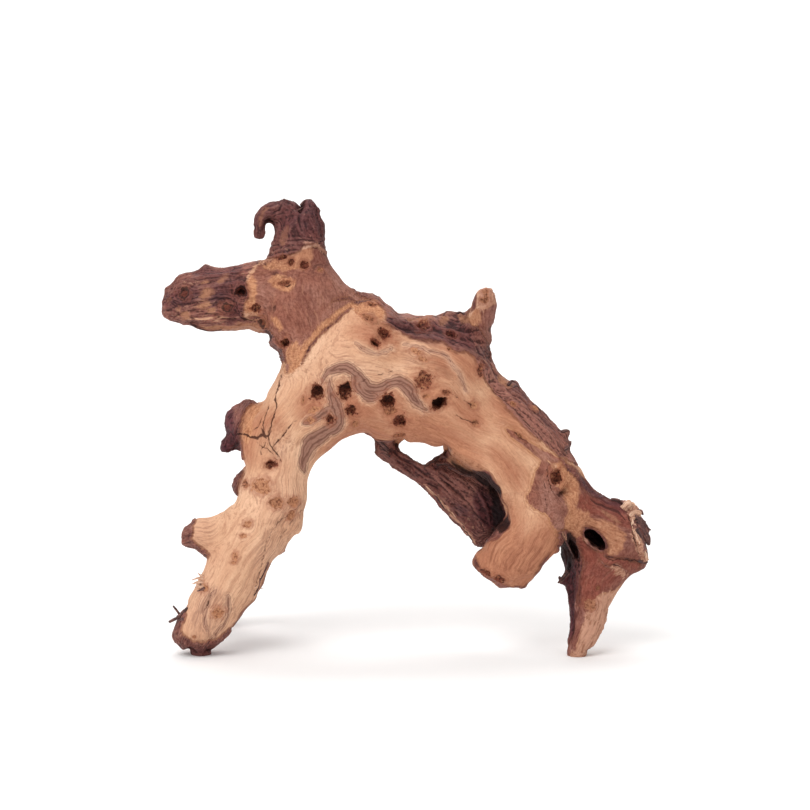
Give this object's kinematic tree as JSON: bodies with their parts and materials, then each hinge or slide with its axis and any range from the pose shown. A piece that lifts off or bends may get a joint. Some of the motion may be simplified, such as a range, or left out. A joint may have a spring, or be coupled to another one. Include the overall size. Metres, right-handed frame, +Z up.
{
  "type": "mopani driftwood root",
  "caption": "Sandblasted mopani root with a high arch, blunt arm, hooked crown and hollow side root; stands on its feet as shelter and decoration in a tank.",
  "frame": {"origin": "on the ground, under the middle of the bounding box", "axes": "+Z up, +X from the blunt arm towards the torn right end, -Y out of the side with the most light wood"},
  "size_m": [0.3207, 0.1284, 0.2981],
  "materials": {
    "sapwood": "sandblasted bare sapwood, matt",
    "heartwood": "weathered dark outer heartwood, matt with a slight sheen",
    "red_heartwood": "smooth red-brown heartwood, matt"
  },
  "bodies": {
    "root": {"arch_trunk": "sapwood", "left_arm": "heartwood", "hooked_crown": "heartwood", "top_spur": "red_heartwood", "left_leg": "sapwood", "rear_root": "heartwood", "right_root": "sapwood", "right_foot": "red_heartwood"}
  },
  "joints": []
}
